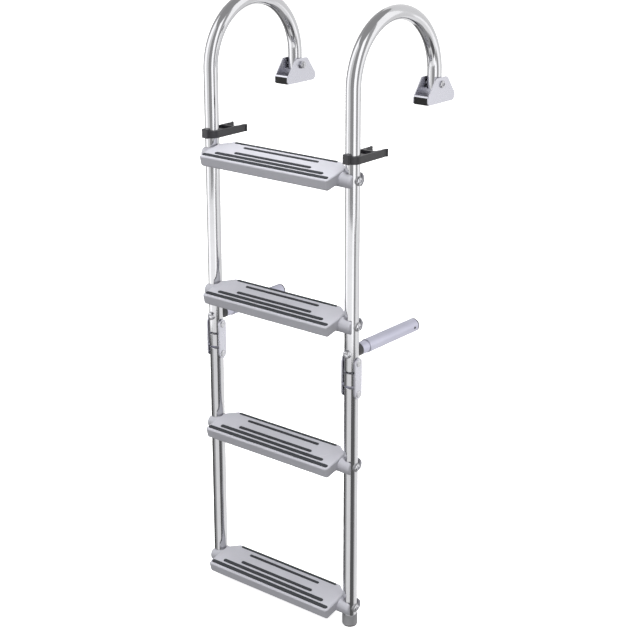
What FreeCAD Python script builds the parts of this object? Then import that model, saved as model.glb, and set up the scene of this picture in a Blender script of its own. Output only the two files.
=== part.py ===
import FreeCAD, Part
import Sketcher
import os
import re
from FreeCAD import Rotation, Vector

# Hook-on boat boarding ladder whose lower half folds up in front of the upper half.
# Origin: midway between the two hook feet, on the plane their rubber soles rest on.
# +X is the ladder's right, +Y points inboard over the boat, -Y is the climber's side, +Z is up.

DRIVING = {
    # stiles
    "tubeRadius": 12.5, "tubeWall": 1.5, "stileGap": 310,
    # hooks and their feet
    "hookSpan": 225, "hookRise": 52, "footBoltHeight": 32, "hookEndLift": 24,
    "footLength": 80, "footTopLength": 34, "footHeight": 44, "footSideHeight": 12,
    "footWidth": 32, "flangeGap": 27, "soleThickness": 13, "footWebThickness": 3,
    # steps
    "firstScrewDrop": 94, "stepPitch": 250, "hingeStepPitch": 256, "lastStepPitch": 272,
    "treadTilt": 13, "treadLift": 17.5, "treadThickness": 20, "treadFront": 49, "treadBack": 22,
    "treadHalfWidth": 141, "treadBackHalfWidth": 119, "treadChamferStart": 6, "noseRadius": 5,
    "rungRadius": 8, "spineRadius": 13, "forkReach": 20, "forkInner": 126, "forkOuter": 165,
    "cellDepth": 16, "cellWall": 4, "stripHeight": 2.4, "stripProud": 1.2,
    # hinges
    "pivotDrop": 64, "linkPitch": 56, "linkHalfWidth": 9, "linkGap": 12.9, "linkPlate": 3,
    "upperTubeBelowPivot": 14.6, "lowerTubeAbovePivot": 9, "hingePlugLength": 24,
    "spacerRadius": 13.3, "spacerBore": 9.5, "spacerLift": 15.8, "spacerHeight": 20.4,
    # standoffs
    "standoffDrop": 48, "standoffReach": 180, "standoffRadius": 11, "standoffSleeve": 12,
    # clips
    "clipLift": 35, "clipHeight": 13, "clipHalfWidth": 16.6, "clipArm": 70,
    "collarBore": 12.6, "jawBore": 12.9, "clipLugRise": 3,
    # fasteners and running clearance
    "boltRadius": 4, "fixedHole": 4.1, "pivotHole": 4.06, "headRadius": 6.5,
    "tailLength": 31, "capRadius": 13.6, "capHeight": 20,
}

DERIVED = {
    "stileX": "stileGap / 2",
    "boreRadius": "tubeRadius - tubeWall",
    "stepOneZ": "-firstScrewDrop",
    "stepTwoZ": "-firstScrewDrop - stepPitch",
    "stepThreeZ": "-firstScrewDrop - stepPitch - hingeStepPitch",
    "stepFourZ": "-firstScrewDrop - stepPitch - hingeStepPitch - lastStepPitch",
    "clipZ": "-firstScrewDrop + clipLift",
    "standoffZ": "-firstScrewDrop - stepPitch - standoffDrop",
    "upperPivotZ": "-firstScrewDrop - stepPitch - pivotDrop",
    "lowerPivotZ": "-firstScrewDrop - stepPitch - pivotDrop - linkPitch",
    "upperEndZ": "-firstScrewDrop - stepPitch - pivotDrop - upperTubeBelowPivot",
    "lowerTopZ": "-firstScrewDrop - stepPitch - pivotDrop - linkPitch + lowerTubeAbovePivot",
    "lowerEndZ": "-firstScrewDrop - stepPitch - hingeStepPitch - lastStepPitch - tailLength",
}

STEPS = {1: "stepOneZ", 2: "stepTwoZ", 3: "stepThreeZ", 4: "stepFourZ"}
SIDES = {"left": -1, "right": 1}

# Grip strips, front to back: half length, distance of the centre line behind the stiles, and width.
STRIPS = ((134, -40, 7.4), (115, -28.5, 7), (81, -17, 6), (80, 5.5, 5), (111, 17.6, 4.4))
CELL_EDGES = (-133, -84, -36, 4, 44, 92, 137)

ALONG = {"x": Rotation(Vector(0, 1, 0), 90), "y": Rotation(Vector(1, 0, 0), -90), "z": Rotation()}

doc = FreeCAD.newDocument("BoardingLadder")
sheet = doc.addObject("Spreadsheet::Sheet", "Sizes")
nodes = []


def fillSheet():
    rows = list(DRIVING.items()) + [(name, "=" + text) for name, text in DERIVED.items()]
    for row, (name, value) in enumerate(rows, start=1):
        sheet.set(f"A{row}", name)
        sheet.set(f"B{row}", str(value))
        sheet.setAlias(f"B{row}", name)
    doc.recompute()


def linked(text):
    """Turns 'tubeRadius - tubeWall' into an expression on the sheet; functions such as sin() stay as they are."""
    return re.sub(r"\b[a-zA-Z]\w*\b(?!\()", r"Sizes.\g<0>", str(text))


def bind(thing, **sizes):
    for name, text in sizes.items():
        thing.setExpression(name, linked(text))
    return thing


def place(thing, at, turn=None):
    if turn is not None:
        thing.Placement.Rotation = turn
    for letter, text in zip("xyz", at):
        thing.setExpression(f"Placement.Base.{letter}", linked(text))
    return thing


def rod(axis, radius, length, at):
    """Cylinder that starts at a point and runs towards +axis."""
    thing = bind(doc.addObject("Part::Cylinder", "Rod"), Radius=radius, Height=length)
    return place(thing, at, ALONG[axis])


def block(size, at):
    """Box with its lowest corner at a point."""
    thing = bind(doc.addObject("Part::Box", "Block"), Length=size[0], Width=size[1], Height=size[2])
    return place(thing, at)


def hexagon(circumradius, length, at):
    """Six-sided bar along X."""
    thing = doc.addObject("Part::Prism", "Hexagon")
    thing.Polygon = 6
    bind(thing, Circumradius=circumradius, Height=length)
    return place(thing, at, ALONG["x"])


def join(*things):
    if len(things) == 1:
        return things[0]
    fused = doc.addObject("Part::MultiFuse", "Joined")
    fused.Shapes = list(things)
    fused.Refine = True
    return fused


def cut(base, *tools):
    result = doc.addObject("Part::Cut", "Trimmed")
    result.Base = base
    result.Tool = join(*tools)
    result.Refine = True
    return result


def node(label, thing, at=(0, 0, 0)):
    """A finished sub-part, placed in the ladder's frame."""
    thing.Label = label
    place(thing, at)
    nodes.append(thing)
    return thing


def plane(body, role):
    return next(item for item in body.Origin.OriginFeatures if item.Role == role)


def polygonPad(label, role, corners, depth, midplane):
    """Body with one padded outline. Each coordinate of a corner is (sign, sheet name, divisor)."""
    body = doc.addObject("PartDesign::Body", label)
    sketch = body.newObject("Sketcher::SketchObject", label + "Outline")
    sketch.AttachmentSupport = [(plane(body, role), "")]
    sketch.MapMode = "FlatFace"
    spots = [[sign * float(sheet.get(name)) / part for sign, name, part in corner] for corner in corners]
    for index, spot in enumerate(spots):
        following = spots[(index + 1) % len(spots)]
        sketch.addGeometry(Part.LineSegment(Vector(*spot, 0), Vector(*following, 0)), False)
    for index in range(len(corners)):
        sketch.addConstraint(Sketcher.Constraint("Coincident", index, 2, (index + 1) % len(corners), 1))
    for index, corner in enumerate(corners):
        for kind, value, (sign, name, part) in zip(("DistanceX", "DistanceY"), spots[index], corner):
            number = sketch.addConstraint(Sketcher.Constraint(kind, -1, 1, index, 1, value))
            sketch.setExpression(f"Constraints[{number}]", linked(f"{sign} * {name} / {part}"))
    pad = body.newObject("PartDesign::Pad", label + "Pad")
    pad.Profile = sketch
    pad.Midplane = midplane
    pad.Reversed = not midplane
    bind(pad, Length=depth)
    doc.recompute()
    return body, pad


def hookTube(radius):
    """Long upright, half-circle bend over the deck, and short leg down to the foot."""
    upright = rod("z", radius, "hookRise - upperEndZ", (0, 0, "upperEndZ"))
    leg = rod("z", radius, "hookRise - hookEndLift", (0, "hookSpan", "hookEndLift"))
    bend = bind(doc.addObject("Part::Torus", "Bend"), Radius1="hookSpan / 2", Radius2=radius)
    bend.Angle3 = 180
    place(bend, (0, "hookSpan / 2", "hookRise"), Rotation(Vector(1, 1, 1), 120))
    return join(upright, bend, leg)


def crossHole(z, radius, axis="x", y="0"):
    start = {"x": ("-2 * tubeRadius", y, z), "y": (0, "-2 * tubeRadius", z)}[axis]
    return rod(axis, radius, "4 * tubeRadius", start)


def makeUpperStile(name, side):
    tube = cut(
        hookTube("tubeRadius"), hookTube("boreRadius"),
        crossHole("stepOneZ", "fixedHole"), crossHole("stepTwoZ", "fixedHole"),
        crossHole("standoffZ", "fixedHole", "y"), crossHole("upperPivotZ", "pivotHole"),
        crossHole("footBoltHeight", "pivotHole", y="hookSpan"))
    node(f"stile_upper_{name}", tube, (f"{side} * stileX", "-hookSpan", 0))
    plug = cut(
        rod("z", "boreRadius - 0.05", 15, (0, 0, "hookEndLift")),
        crossHole("footBoltHeight", "pivotHole"))
    node(f"hook_end_plug_{name}", plug, (f"{side} * stileX", 0, 0))


def makeLowerStile(name, side):
    tube = cut(
        rod("z", "tubeRadius", "lowerTopZ - lowerEndZ", (0, 0, "lowerEndZ")),
        rod("z", "boreRadius", "lowerTopZ - lowerEndZ", (0, 0, "lowerEndZ")),
        crossHole("lowerPivotZ", "pivotHole"),
        crossHole("stepThreeZ", "fixedHole"), crossHole("stepFourZ", "fixedHole"))
    node(f"stile_lower_{name}", tube, (f"{side} * stileX", "-hookSpan", 0))
    cap = cut(
        rod("z", "capRadius", "capHeight", (0, 0, "lowerEndZ - 3")),
        rod("z", "tubeRadius", "capHeight", (0, 0, "lowerEndZ")))
    node(f"end_cap_{name}", cap, (f"{side} * stileX", "-hookSpan", 0))
    pad = rod("z", "capRadius - 1.2", 2, (0, 0, 0))
    node(f"end_pad_{name}", pad, (f"{side} * stileX", "-hookSpan", "lowerEndZ - 5"))


def slot(half, y, width, height, z):
    """Bar with round ends along X, as a grip strip or as its groove."""
    ends = [rod("z", width / 2, height, (end * half, y, z)) for end in (-1, 1)]
    return join(block((2 * half, width, height), (-half, y - width / 2, z)), *ends)


def makeDeck(number):
    """Plate of a step: nosing, ribbed underside and strip grooves, sloping down to the front."""
    corners = []
    for sign in (1, -1):
        flank = [((sign, "treadHalfWidth", 1), (-1, "treadFront", 1)),
                 ((sign, "treadHalfWidth", 1), (1, "treadChamferStart", 1)),
                 ((sign, "treadBackHalfWidth", 1), (1, "treadBack", 1))]
        corners += flank if sign > 0 else flank[::-1]
    plate, pad = polygonPad(f"Plate{number}", "XY_Plane", corners, "treadThickness", False)
    front = -float(sheet.get("treadFront"))
    nose = [f"Edge{index}" for index, edge in enumerate(pad.Shape.Edges, start=1)
            if all(abs(point.Point.y - front) < 0.01 for point in edge.Vertexes) and edge.Length > 100]
    rounded = plate.newObject("PartDesign::Fillet", f"Nose{number}")
    rounded.Base = (pad, nose)
    bind(rounded, Radius="noseRadius")
    plate.Tip = rounded

    tools = [block((right - left - 4, "treadFront - spineRadius - 7", "cellDepth"),
                   (left, "-treadFront + cellWall", "-treadThickness"))
             for left, right in zip(CELL_EDGES, CELL_EDGES[1:])]
    for half, y, width in STRIPS:
        tools.append(slot(half, y, width + 0.1, 3, "stripProud - stripHeight"))
    return tilted(cut(plate, *tools))


def tilted(thing):
    """Turns something drawn on a step's top face to the slope of the step, above the rung's axis."""
    turn = Rotation(Vector(1, 0, 0), float(sheet.get("treadTilt")))
    return place(thing, (0, "-treadLift * sin(treadTilt)", "treadLift * cos(treadTilt)"), turn)


def makeTread(number, z):
    """Moulded step: tilted deck, spine round the rung and a fork at each stile."""
    solids = [makeDeck(number), rod("x", "spineRadius", "2 * forkInner", ("-forkInner", 0, 0))]
    tools = [rod("x", "rungRadius + 0.1", "stileGap", ("-stileX", 0, 0))]
    flank = "forkReach - spineRadius"
    for sign in (-1, 1):
        inner = "forkInner" if sign > 0 else "-forkOuter"
        for y in (flank, f"-({flank})"):
            solids.append(rod("x", "spineRadius", "forkOuter - forkInner", (inner, y, 0)))
        solids.append(block(("forkOuter - forkInner", f"2 * ({flank})", "2 * spineRadius"),
                            (inner, f"-({flank})", "-spineRadius")))
        tools.append(rod("z", "tubeRadius + 0.05", 80, (f"{sign} * stileX", 0, -40)))
        mouth = "stileX" if sign > 0 else "-stileX - 30"
        tools.append(block((30, "2 * tubeRadius + 0.1", 80), (mouth, "-tubeRadius - 0.05", -40)))
    node(f"tread_{number}", cut(join(*solids), *tools), (0, "-hookSpan", z))

    strips = join(*[slot(half, y, width, "stripHeight", "stripProud - stripHeight")
                    for half, y, width in STRIPS])
    node(f"grip_strips_{number}", tilted(strips), ("0", "-hookSpan - treadLift * sin(treadTilt)",
                                                   f"{z} + treadLift * cos(treadTilt)"))

    length = "stileGap - 2 * tubeRadius - 0.2"
    threads = [rod("x", "boltRadius", 20, ("0", 0, 0)), rod("x", "boltRadius", 20, (f"{length} - 20", 0, 0))]
    rung = cut(rod("x", "rungRadius", length, (0, 0, 0)), *threads)
    node(f"rung_bar_{number}", rung, ("-stileX + tubeRadius + 0.1", "-hookSpan", z))


def treadScrew(side, z):
    """Dome screw through the stile into the end of the rung."""
    reach = "2 * tubeRadius + 19"
    seat = "stileX + tubeRadius + 1"
    start = f"{seat} - ({reach})" if side > 0 else f"-({seat})"
    shank = rod("x", "boltRadius", reach, (start, 0, z))
    head = rod("x", "headRadius", 3.4, (seat if side > 0 else f"-({seat}) - 3.4", 0, z))
    face = f"{seat} + 1.2" if side > 0 else f"-({seat}) - 4.4"
    return cut(join(shank, head), hexagon(3, 3.2, (face, 0, z)))


def screwSaddle(side, z):
    """Plastic washer, hollowed to sit on the round tube under a screw head."""
    start = "stileX + 8" if side > 0 else "-stileX - tubeRadius - 1"
    ring = rod("x", "headRadius + 1.6", "tubeRadius - 7", (start, 0, z))
    tube = rod("z", "tubeRadius", 40, (f"{side} * stileX", 0, f"{z} - 20"))
    return cut(ring, tube, rod("x", "fixedHole", "stileGap + 80", ("-stileX - 40", 0, z)))


def makeTreadFasteners(section, steps):
    places = [(side, STEPS[number]) for number in steps for side in SIDES.values()]
    node(f"tread_screws_{section}", join(*[treadScrew(*spot) for spot in places]), (0, "-hookSpan", 0))
    node(f"screw_saddles_{section}", join(*[screwSaddle(*spot) for spot in places]), (0, "-hookSpan", 0))


def makeFoot(name, side):
    """Channel bracket with a rubber sole, swivelling on a bolt through the end of the hook."""
    corners = [((1, "footLength", -2), (0, "footLength", 1)),
               ((1, "footLength", 2), (0, "footLength", 1)),
               ((1, "footLength", 2), (1, "footSideHeight", 1)),
               ((1, "footTopLength", 2), (1, "footHeight", 1)),
               ((1, "footTopLength", -2), (1, "footHeight", 1)),
               ((1, "footLength", -2), (1, "footSideHeight", 1))]
    outline, _ = polygonPad(f"Channel{name}", "YZ_Plane", corners, "footWidth", True)
    room = ("flangeGap", "2 * footLength")
    above = block((*room, "footHeight"),
                  ("-flangeGap / 2", "-footLength", "soleThickness + footWebThickness"))
    below = block((*room, "soleThickness + 5"), ("-flangeGap / 2", "-footLength", -5))
    hole = rod("x", "boltRadius", "2 * footWidth", ("-footWidth", 0, "footBoltHeight"))
    at = (f"{side} * stileX", 0, 0)
    node(f"foot_bracket_{name}", cut(outline, above, below, hole), at)
    sole = block(("flangeGap - 0.2", "footLength", "soleThickness"),
                 ("-flangeGap / 2 + 0.1", "-footLength / 2", 0))
    groove = [block(("flangeGap", 2, 1.5), ("-flangeGap / 2", f"{step} * footLength / 8 - 1", 0))
              for step in (-3, -2, -1, 0, 1, 2, 3)]
    node(f"foot_pad_{name}", cut(sole, *groove), at)

    outer, inner = "footWidth / 2", "-footWidth / 2"
    seat = outer if side > 0 else f"{inner} - 4"
    socket = f"{outer} + 2" if side > 0 else f"{inner} - 4"
    nutSeat = f"{inner} - 6.5" if side > 0 else outer
    start = f"{inner} - 8" if side > 0 else inner
    shank = rod("x", "boltRadius", "footWidth + 8", (start, 0, "footBoltHeight"))
    head = rod("x", "headRadius", 4, (seat, 0, "footBoltHeight"))
    bolt = cut(join(shank, head), hexagon(3, 2, (socket, 0, "footBoltHeight")))
    node(f"foot_bolt_{name}", bolt, at)
    nut = cut(hexagon(7.5, 6.5, (nutSeat, 0, "footBoltHeight")),
              rod("x", "boltRadius", "2 * footWidth", ("-footWidth", 0, "footBoltHeight")))
    node(f"foot_nut_{name}", nut, at)


def makeClip(name, side):
    """Plastic clip that turns on the upright; its jaws hold the folded lower stile."""
    low = "-clipHeight / 2"
    collar = rod("z", "clipHalfWidth", "clipHeight", (0, 0, low))
    body = block(("2 * clipHalfWidth", "clipArm", "clipHeight"), ("-clipHalfWidth", 0, low))
    tab = block((14, 8, "clipHeight + clipLugRise"), (-7, "-clipHalfWidth - 3", low))
    tips = [rod("z", 2.6, "clipHeight", (f"{sign} * (clipHalfWidth - 0.6)", "clipArm", low))
            for sign in (-1, 1)]
    window = block(("2 * jawBore", "linkPitch - 2 * jawBore - 8", 40), ("-jawBore", "jawBore + 4", -20))
    mouth = block(("2 * jawBore", 40, 40), ("-jawBore", "linkPitch", -20))
    clip = cut(
        join(collar, body, tab, *tips), window, mouth,
        rod("z", "collarBore", 40, (0, 0, -20)), rod("z", "jawBore", 40, (0, "linkPitch", -20)))
    node(f"clip_{name}", clip, (f"{side} * stileX", "-hookSpan", "clipZ"))


def makeStandoff(name, side):
    """Strut that keeps the ladder off the hull: saddle, inner tube, outer sleeve and rubber tip."""
    at = (f"{side} * stileX", "-hookSpan", "standoffZ")
    tube = rod("z", "tubeRadius", 60, (0, 0, -30))
    hole = rod("y", "fixedHole", 60, (0, 0, 0))
    node(f"standoff_saddle_{name}", cut(rod("y", "standoffRadius", 14, (0, 6, 0)), tube, hole), at)
    inner = cut(rod("y", "standoffRadius", 130, (0, 20, 0)),
                rod("y", "standoffRadius - tubeWall", 130, (0, 20, 0)))
    node(f"standoff_tube_{name}", inner, at)
    insert = cut(rod("y", "standoffRadius - tubeWall - 0.05", 26, (0, 20, 0)),
                 rod("y", "boltRadius", 26, (0, 20, 0)))
    node(f"standoff_insert_{name}", insert, at)
    sleeve = cut(
        rod("y", "standoffSleeve", "standoffReach - 41", (0, 38, 0)),
        rod("y", "standoffRadius + 0.05", "standoffReach - 41", (0, 38, 0)),
        rod("x", 2.5, "4 * standoffSleeve", ("-2 * standoffSleeve", "standoffReach - 14", 0)))
    node(f"standoff_sleeve_{name}", sleeve, at)
    tip = join(rod("y", "standoffSleeve", 3, (0, "standoffReach - 3", 0)),
               rod("y", "standoffRadius", 22, (0, "standoffReach - 25", 0)))
    node(f"standoff_tip_{name}", tip, at)
    head = cut(rod("y", "headRadius + 1", 9, (0, -17, 0)), tube)
    node(f"standoff_bolt_{name}", join(head, rod("y", "boltRadius", 56, (0, -16, 0))), at)


def makeLink(name, side):
    """Link: two round-ended plates beside the tubes, held apart by a short tube between the stiles' ends."""
    ends = [rod("x", "linkHalfWidth", "2 * (linkGap + linkPlate)", ("-linkGap - linkPlate", 0, z))
            for z in ("upperPivotZ", "lowerPivotZ")]
    middle = block(("2 * (linkGap + linkPlate)", "2 * linkHalfWidth", "linkPitch"),
                   ("-linkGap - linkPlate", "-linkHalfWidth", "lowerPivotZ"))
    room = block(("2 * linkGap", 60, "linkPitch + 60"), ("-linkGap", -30, "lowerPivotZ - 30"))
    base = (0, 0, "lowerPivotZ + spacerLift")
    spacer = cut(rod("z", "spacerRadius", "spacerHeight", base), rod("z", "spacerBore", "spacerHeight", base))
    link = cut(join(cut(join(*ends, middle), room), spacer),
               crossHole("upperPivotZ", "boltRadius"), crossHole("lowerPivotZ", "boltRadius"))
    return node(f"hinge_link_{name}", link, (f"{side} * stileX", "-hookSpan", 0))


def hingePin(side, z):
    """Riveted pivot pin through both plates of a link."""
    half = "linkGap + linkPlate"
    shank = rod("x", "boltRadius", f"2 * ({half})", (f"{side} * stileX - ({half})", 0, z))
    heads = [rod("x", "headRadius", 1.8, (f"{side} * stileX + ({start})", 0, z))
             for start in (half, f"-({half}) - 1.8")]
    return join(shank, *heads)


def makeHinges():
    for name, side in SIDES.items():
        makeLink(name, side)
    for level, z, low in (("upper", "upperPivotZ", "upperEndZ"),
                          ("lower", "lowerPivotZ", "lowerTopZ - hingePlugLength")):
        pins = join(*[hingePin(side, z) for side in SIDES.values()])
        node(f"hinge_pins_{level}", pins, (0, "-hookSpan", 0))
        plugs = [cut(rod("z", "boreRadius - 0.05", "hingePlugLength", (f"{side} * stileX", 0, low)),
                     rod("x", "pivotHole", "4 * tubeRadius", (f"{side} * stileX - 2 * tubeRadius", 0, z)))
                 for side in SIDES.values()]
        node(f"hinge_plugs_{level}", join(*plugs), (0, "-hookSpan", 0))


def checkAndWrite():
    doc.recompute()
    for thing in doc.Objects:
        if {"Invalid", "Error"} & set(thing.State):
            raise RuntimeError(f"{thing.Name} {thing.Label} failed: {thing.State}")
    os.makedirs("parts", exist_ok=True)
    for thing in nodes:
        shape = thing.Shape
        if shape.isNull() or not shape.isValid() or shape.Volume <= 0:
            raise RuntimeError(f"{thing.Label} has no sound shape")
        shape.exportStep(f"parts/{thing.Label}.step")
        box = shape.BoundBox
        print(f"{thing.Label}: {len(shape.Solids)} solids, {shape.Volume:.0f} mm3,",
              f"x {box.XMin:.1f}..{box.XMax:.1f}, y {box.YMin:.1f}..{box.YMax:.1f},",
              f"z {box.ZMin:.1f}..{box.ZMax:.1f}")


fillSheet()
for sideName, sideSign in SIDES.items():
    makeUpperStile(sideName, sideSign)
    makeLowerStile(sideName, sideSign)
    makeFoot(sideName, sideSign)
    makeClip(sideName, sideSign)
    makeStandoff(sideName, sideSign)
for stepNumber, stepZ in STEPS.items():
    makeTread(stepNumber, stepZ)
makeTreadFasteners("upper", (1, 2))
makeTreadFasteners("lower", (3, 4))
makeHinges()
checkAndWrite()
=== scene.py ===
import bmesh
import bpy
import math
from mathutils import Matrix, Vector


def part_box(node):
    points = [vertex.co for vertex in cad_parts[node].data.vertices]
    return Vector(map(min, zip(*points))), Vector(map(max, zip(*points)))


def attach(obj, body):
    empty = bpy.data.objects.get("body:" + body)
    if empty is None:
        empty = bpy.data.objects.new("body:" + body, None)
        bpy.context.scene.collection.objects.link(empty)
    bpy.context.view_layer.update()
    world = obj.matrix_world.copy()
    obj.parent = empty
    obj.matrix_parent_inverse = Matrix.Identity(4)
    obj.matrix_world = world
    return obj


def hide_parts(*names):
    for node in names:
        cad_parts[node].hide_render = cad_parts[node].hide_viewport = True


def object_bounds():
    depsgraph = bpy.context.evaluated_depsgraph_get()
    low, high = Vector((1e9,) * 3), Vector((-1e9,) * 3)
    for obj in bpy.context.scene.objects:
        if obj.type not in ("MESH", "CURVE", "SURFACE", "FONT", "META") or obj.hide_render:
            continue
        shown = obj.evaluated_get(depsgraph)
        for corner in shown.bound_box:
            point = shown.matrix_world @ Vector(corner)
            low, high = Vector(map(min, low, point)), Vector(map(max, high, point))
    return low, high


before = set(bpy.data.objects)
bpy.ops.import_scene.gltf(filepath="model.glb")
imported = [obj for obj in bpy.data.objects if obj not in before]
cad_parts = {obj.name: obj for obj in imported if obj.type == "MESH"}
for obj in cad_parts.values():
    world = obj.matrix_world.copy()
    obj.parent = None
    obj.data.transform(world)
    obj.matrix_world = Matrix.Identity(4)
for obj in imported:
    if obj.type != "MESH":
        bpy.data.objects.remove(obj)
cadLow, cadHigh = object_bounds()  # the design's own box

# Pieces are drawn in millimetres in the ladder's frame and turned to metres when they are finished.
# +X is the ladder's right, +Y points inboard over the boat, -Y is the climber's side.
sides = {"left": -1, "right": 1}
upright = Matrix.Identity(4)  # a part's own height runs along +Z
# sideways: outline in Y and Z, height along +X; inboard: outline in Z and X, height along +Y
sideways = Matrix(((0, 0, 1, 0), (1, 0, 0, 0), (0, 1, 0, 0), (0, 0, 0, 1)))
inboard = Matrix(((0, 1, 0, 0), (0, 0, 1, 0), (1, 0, 0, 0), (0, 0, 0, 1)))


def boxOf(node):
    low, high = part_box(node)
    return low * 1000, high * 1000


def middleOf(node):
    low, high = boxOf(node)
    return (low + high) / 2


def movedTo(point, turn=upright):
    return Matrix.Translation(point) @ turn


def flipped(matrix):
    return matrix @ Matrix.Rotation(math.pi, 4, "X")  # the same part facing the other way


def arc(centre, radius, first, last, steps):
    # points along a circle, in degrees
    return [Vector((centre[0] + radius * math.cos(math.radians(first + (last - first) * i / steps)),
                    centre[1] + radius * math.sin(math.radians(first + (last - first) * i / steps))))
            for i in range(steps + 1)]


def roundedOutline(corners, radii, steps=8):
    # corners run anticlockwise, each with its own rounding radius
    outline = []
    for index, corner in enumerate(corners):
        here = Vector(corner)
        before = (Vector(corners[index - 1]) - here).normalized()
        after = (Vector(corners[(index + 1) % len(corners)]) - here).normalized()
        half, radius = before.angle(after) / 2, radii[index]
        centre = here + (before + after).normalized() * radius / math.sin(half)
        first = here + before * radius / math.tan(half) - centre
        last = here + after * radius / math.tan(half) - centre
        outline += [centre + first.lerp(last, i / steps).normalized() * radius for i in range(steps + 1)]
    return outline


def slotOutline(half, radius, centre=(0, 0), steps=10):
    # long hole or bar with round ends, along the first axis
    return (arc((centre[0] + half, centre[1]), radius, -90, 90, steps)
            + arc((centre[0] - half, centre[1]), radius, 90, 270, steps))


def inset(outline, amount):
    moved = []
    for index, point in enumerate(outline):
        along = (outline[(index + 1) % len(outline)] - outline[index - 1]).normalized()
        moved.append(point + Vector((-along.y, along.x)) * amount)
    return moved


def stack(mesh, rings, loop=False):
    # skin over rings of equal point counts; a loop joins the last ring to the first,
    # otherwise both ends are closed
    made = [[mesh.verts.new(point) for point in ring] for ring in rings]
    pairs = list(zip(made, made[1:])) + ([(made[-1], made[0])] if loop else [])
    for lower, upper in pairs:
        for index in range(len(lower)):
            after = (index + 1) % len(lower)
            mesh.faces.new((lower[index], lower[after], upper[after], upper[index]))
    if not loop:
        mesh.faces.new(made[0][::-1])
        mesh.faces.new(made[-1])
    return mesh


def slab(mesh, outline, low, high, edge, place=upright, topEdge=None, steps=4):
    # plate of one outline with its rims rounded by a quarter circle
    topEdge = edge if topEdge is None else topEdge
    levels = [(edge * (1 - math.sin(math.radians(90 * i / steps))),
               low + edge * (1 - math.cos(math.radians(90 * i / steps)))) for i in range(steps + 1)]
    levels += [(topEdge * (1 - math.cos(math.radians(90 * i / steps))),
                high - topEdge * (1 - math.sin(math.radians(90 * i / steps)))) for i in range(steps + 1)]
    return stack(mesh, [[place @ Vector((p.x, p.y, level)) for p in inset(outline, amount)]
                        for amount, level in levels])


def turned(mesh, profile, place=upright, count=64, loop=False):
    # lathe work: (radius, height) pairs, or (radius, height, sides) where a ring is a polygon such as
    # a hexagon; the height may be a function of the point across the axis
    rings = []
    for radius, height, *flats in profile:
        ring = []
        for index in range(count):
            turn = math.tau * index / count
            reach = max(radius, 0.02)
            if flats:
                sector = math.tau / flats[0]
                reach /= math.cos((turn % sector) - sector / 2)
            spot = Vector((reach * math.cos(turn), reach * math.sin(turn), 0))
            spot.z = height(spot) if callable(height) else height
            ring.append(place @ spot)
        rings.append(ring)
    return stack(mesh, rings, loop)


def bar(mesh, low, high, edge=0.0):
    # block between two corners, with its upright edges rounded
    corners = [(low[0], low[1]), (high[0], low[1]), (high[0], high[1]), (low[0], high[1])]
    outline = roundedOutline(corners, [edge] * 4, 6) if edge else [Vector(c) for c in corners]
    return stack(mesh, [[Vector((p.x, p.y, level)) for p in outline] for level in (low[2], high[2])])


def worked(solid, *steps):
    # joins or cuts solids one after the other: each step is ("UNION" or "DIFFERENCE", solid)
    def asObject(mesh):
        bmesh.ops.recalc_face_normals(mesh, faces=mesh.faces)
        data = bpy.data.meshes.new("blank")
        mesh.to_mesh(data)
        mesh.free()
        blank = bpy.data.objects.new("blank", data)
        bpy.context.scene.collection.objects.link(blank)
        return blank

    blank = asObject(solid)
    tools = []
    for operation, tool in steps:
        tools.append(asObject(tool))
        change = blank.modifiers.new("work", "BOOLEAN")
        change.operation = operation
        change.solver = "EXACT"
        change.use_self = True
        change.object = tools[-1]
    result = bmesh.new()
    result.from_object(blank, bpy.context.evaluated_depsgraph_get())
    for thing in [blank] + tools:
        bpy.data.objects.remove(thing)
    return result


def finished(name, mesh, material, body, nodes, crease=30, bevel=0.0):
    # turns the drawing into a shaded piece in metres that rides on its body and stands for its CAD nodes
    bmesh.ops.scale(mesh, vec=(0.001, 0.001, 0.001), verts=mesh.verts)
    bmesh.ops.recalc_face_normals(mesh, faces=mesh.faces)
    data = bpy.data.meshes.new(name)
    mesh.to_mesh(data)
    mesh.free()
    return dressed(name, data, material, body, nodes, crease, bevel)


def dressed(name, data, material, body, nodes, crease=30, bevel=0.0):
    data.shade_smooth()
    data.set_sharp_from_angle(angle=math.radians(crease))
    if not data.materials:
        data.materials.append(material)
    piece = bpy.data.objects.new(name, data)
    bpy.context.scene.collection.objects.link(piece)
    if bevel:
        softened = piece.modifiers.new("softened edges", "BEVEL")
        softened.width = bevel * 0.001
        softened.segments = 2
        softened.limit_method = "ANGLE"
        softened.angle_limit = math.radians(45)
        softened.harden_normals = True
    shading = piece.modifiers.new("even shading", "WEIGHTED_NORMAL")
    shading.keep_sharp = True
    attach(piece, body)
    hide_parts(*nodes)
    return piece


def linearColour(code):
    # sRGB hex to the linear values that the shader works in
    parts = [int(code[i:i + 2], 16) / 255 for i in (1, 3, 5)]
    return tuple(p / 12.92 if p <= 0.04045 else ((p + 0.055) / 1.055) ** 2.4 for p in parts) + (1,)


def addNode(tree, kind, values=None, wires=None, **settings):
    # one node with its settings, its own values and the outputs wired into it
    node = tree.nodes.new("ShaderNode" + kind)
    for name, value in settings.items():
        setattr(node, name, value)
    for socket, value in (values or {}).items():
        node.inputs[socket].default_value = value
    for socket, output in (wires or {}).items():
        tree.links.new(output, node.inputs[socket])
    return node


def startMaterial(name, values):
    # a shader with its plain values, and the node tree to build on
    material = bpy.data.materials.new(name)
    material.use_nodes = True
    shader = material.node_tree.nodes["Principled BSDF"]
    for socket, value in values.items():
        shader.inputs[socket].default_value = value
    return material, material.node_tree, shader


def perMetre(millimetres):
    return 1000 / millimetres  # texture scale for features this far apart


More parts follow.
